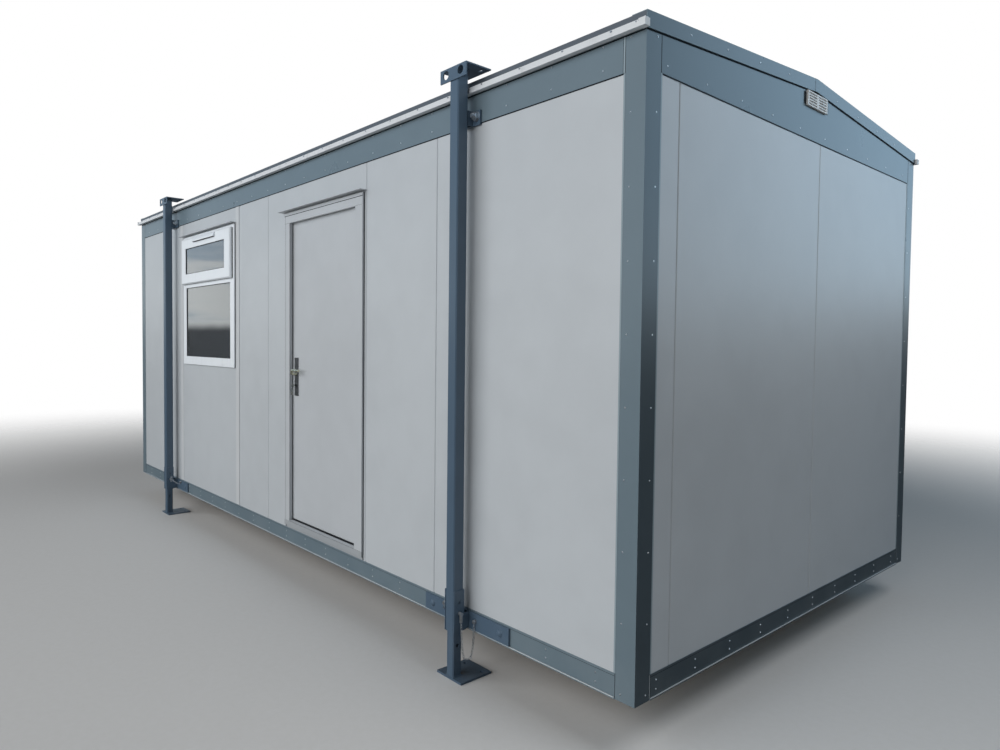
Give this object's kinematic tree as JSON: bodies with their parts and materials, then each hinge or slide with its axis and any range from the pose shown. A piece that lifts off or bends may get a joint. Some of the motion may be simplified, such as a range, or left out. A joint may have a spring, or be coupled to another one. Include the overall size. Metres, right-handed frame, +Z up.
{
  "type": "portable site cabin",
  "caption": "Portable site cabin: a panelled steel room with a hinged door, a window, a shallow pitched roof and telescopic jack legs with drilled lifting heads at the sides.",
  "frame": {"origin": "centre of the footprint, at ground level under the foot plates", "axes": "+X along the cabin towards the gable nearest the door, -Y out of the door side, +Z up"},
  "size_m": [6.132, 2.955, 2.857],
  "materials": {
    "rail_blue": "satin",
    "panel_grey": "satin",
    "roof_grey": "satin",
    "floor_wood": "matt",
    "ceiling_white": "matt",
    "gutter_pale": "matt",
    "vent_white": "matt",
    "door_paint": "satin",
    "sill_metal": "brushed",
    "lever_metal": "satin",
    "plate_metal": "satin",
    "hinge_steel": "zinc plated",
    "window_white": "gloss",
    "pane": "clear",
    "leg_blue": "satin",
    "leg_zinc": "zinc plated"
  },
  "bodies": {
    "cabin": {"front_bottom_rail": "rail_blue", "rear_bottom_rail": "rail_blue", "gable_bottom_rails": "rail_blue", "floor_joists": "floor_wood", "floor_deck": "floor_wood", "corner_posts": "rail_blue", "front_wall_right": "panel_grey", "front_wall_middle": "panel_grey", "over_door_panel": "panel_grey", "window_panel": "panel_grey", "front_wall_left": "panel_grey", "rear_wall": "panel_grey", "right_gable_wall": "panel_grey", "left_gable_wall": "panel_grey", "front_top_rail": "rail_blue", "rear_top_rail": "rail_blue", "gable_beams": "rail_blue", "ceiling": "ceiling_white", "roof_trusses": "floor_wood", "roof_front_slope": "roof_grey", "roof_rear_slope": "roof_grey", "verge_cappings": "rail_blue", "gutters": "gutter_pale", "gable_vents": "vent_white", "door_frame": "door_paint", "door_threshold": "sill_metal", "door_hood": "door_paint", "hinge_frame_halves": "hinge_steel", "window_frame": "window_white", "window_sash": "window_white", "window_panes": "pane", "trickle_vent": "window_white", "window_hood": "door_paint", "leg_front_right": "leg_blue", "leg_front_left": "leg_blue", "leg_rear_right": "leg_blue", "leg_rear_left": "leg_blue", "leg_feet": "leg_blue", "leg_top_brackets": "leg_blue", "leg_base_brackets": "leg_blue", "leg_pins": "leg_zinc"},
    "leaf": {"door_leaf": "door_paint", "door_lock": "plate_metal", "hinge_door_halves": "hinge_steel"},
    "levers": {"door_levers": "lever_metal"}
  },
  "joints": [
    {"name": "door_hinge", "type": "hinge", "parent": "cabin", "child": "leaf", "pos_m": [1.0865, -1.307, 1.365], "axis": [0, 0, -1], "range_deg": [0, 100]},
    {"name": "door_lever", "type": "hinge", "parent": "leaf", "child": "levers", "pos_m": [0.302, -1.357, 1.34], "axis": [0, 1, 0], "range_deg": [0, 40], "stiffness_Nm_per_rad": 1.5, "springref_deg": -11.46}
  ]
}
